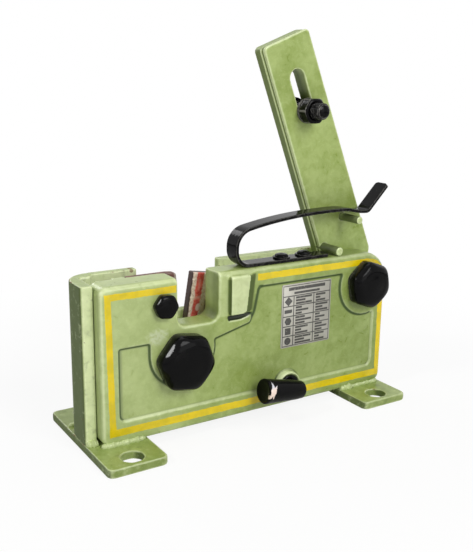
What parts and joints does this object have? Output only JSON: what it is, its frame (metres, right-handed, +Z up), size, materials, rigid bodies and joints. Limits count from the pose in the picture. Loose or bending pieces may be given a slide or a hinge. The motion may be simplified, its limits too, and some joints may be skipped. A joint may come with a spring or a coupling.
{
  "type": "manual bar cutter",
  "caption": "Bench-mounted hand shear for steel bar: cast body on two bolted feet, toothed lever driving a pivoted jaw blade, strap latch and lock screw.",
  "frame": {"origin": "middle of the four foot holes, on the underside of the feet", "axes": "+X along the body towards the lever pivot, +Y from the front plate to the rear wall, +Z up"},
  "size_m": [0.301, 0.126, 0.3329],
  "materials": {
    "green_paint": "satin paint over cast grain",
    "black_gloss": "glossy black enamel",
    "blade_steel": "worn tool steel with red-brown coat",
    "bare_steel": "turned",
    "bronze": "turned",
    "plate_metal": "satin sheet with dark print"
  },
  "bodies": {
    "frame": {"rear_casting": "green_paint", "front_plate": "green_paint", "left_foot": "green_paint", "right_foot": "green_paint", "body_screws": "black_gloss", "main_pivot_bolt": "black_gloss", "main_pivot_washer": "black_gloss", "main_pivot_nut": "black_gloss", "lever_pivot_bolt": "black_gloss", "lever_pivot_washer": "black_gloss", "lever_pivot_nut": "black_gloss", "lever_spacer": "bare_steel", "fixed_blade": "blade_steel", "fixed_blade_bolt": "black_gloss", "rating_plate": "plate_metal", "latch_leg": "black_gloss", "latch_screws": "black_gloss", "latch_washers": "black_gloss"},
    "lever_arm": {"lever": "green_paint", "lever_bush": "bronze", "latch_peg": "green_paint", "stop_peg": "green_paint"},
    "handle_clamp": {"handle_clamp_bolt": "black_gloss", "handle_clamp_nut": "black_gloss", "handle_clamp_washers": "black_gloss"},
    "jaw": {"moving_jaw": "green_paint", "jaw_bush": "bronze", "moving_blade": "blade_steel", "moving_blade_screws": "black_gloss"},
    "latch": {"latch_arm": "black_gloss"},
    "lock": {"lock_screw": "black_gloss", "lock_handle": "black_gloss"}
  },
  "joints": [
    {"name": "lever_swing", "type": "hinge", "parent": "frame", "child": "lever_arm", "pos_m": [0.1245, 0.0054, 0.1085], "axis": [0, 1, 0], "range_deg": [0, 95]},
    {"name": "jaw_swing", "type": "hinge", "parent": "frame", "child": "jaw", "pos_m": [-0.068, 0.008, 0.068], "axis": [0, -1, 0], "range_deg": [0, 28.5]},
    {"name": "clamp_slide", "type": "slide", "parent": "lever_arm", "child": "handle_clamp", "axis": [-0.3746, 0, 0.9272], "range_m": [0, 0.0295]},
    {"name": "latch_flex", "type": "hinge", "parent": "frame", "child": "latch", "pos_m": [-0.0145, -0.015, 0.1515], "axis": [0, -1, 0], "range_deg": [0, 6], "stiffness_Nm_per_rad": 3, "springref_deg": -2.86},
    {"name": "lock_turn", "type": "hinge", "parent": "frame", "child": "lock", "pos_m": [0.037, -0.02, 0.026], "axis": [0, 1, 0], "range_deg": [0, 150]}
  ],
  "couplings": [
    {"joint": "jaw_swing", "follows": "lever_swing", "ratio": 0.3}
  ]
}
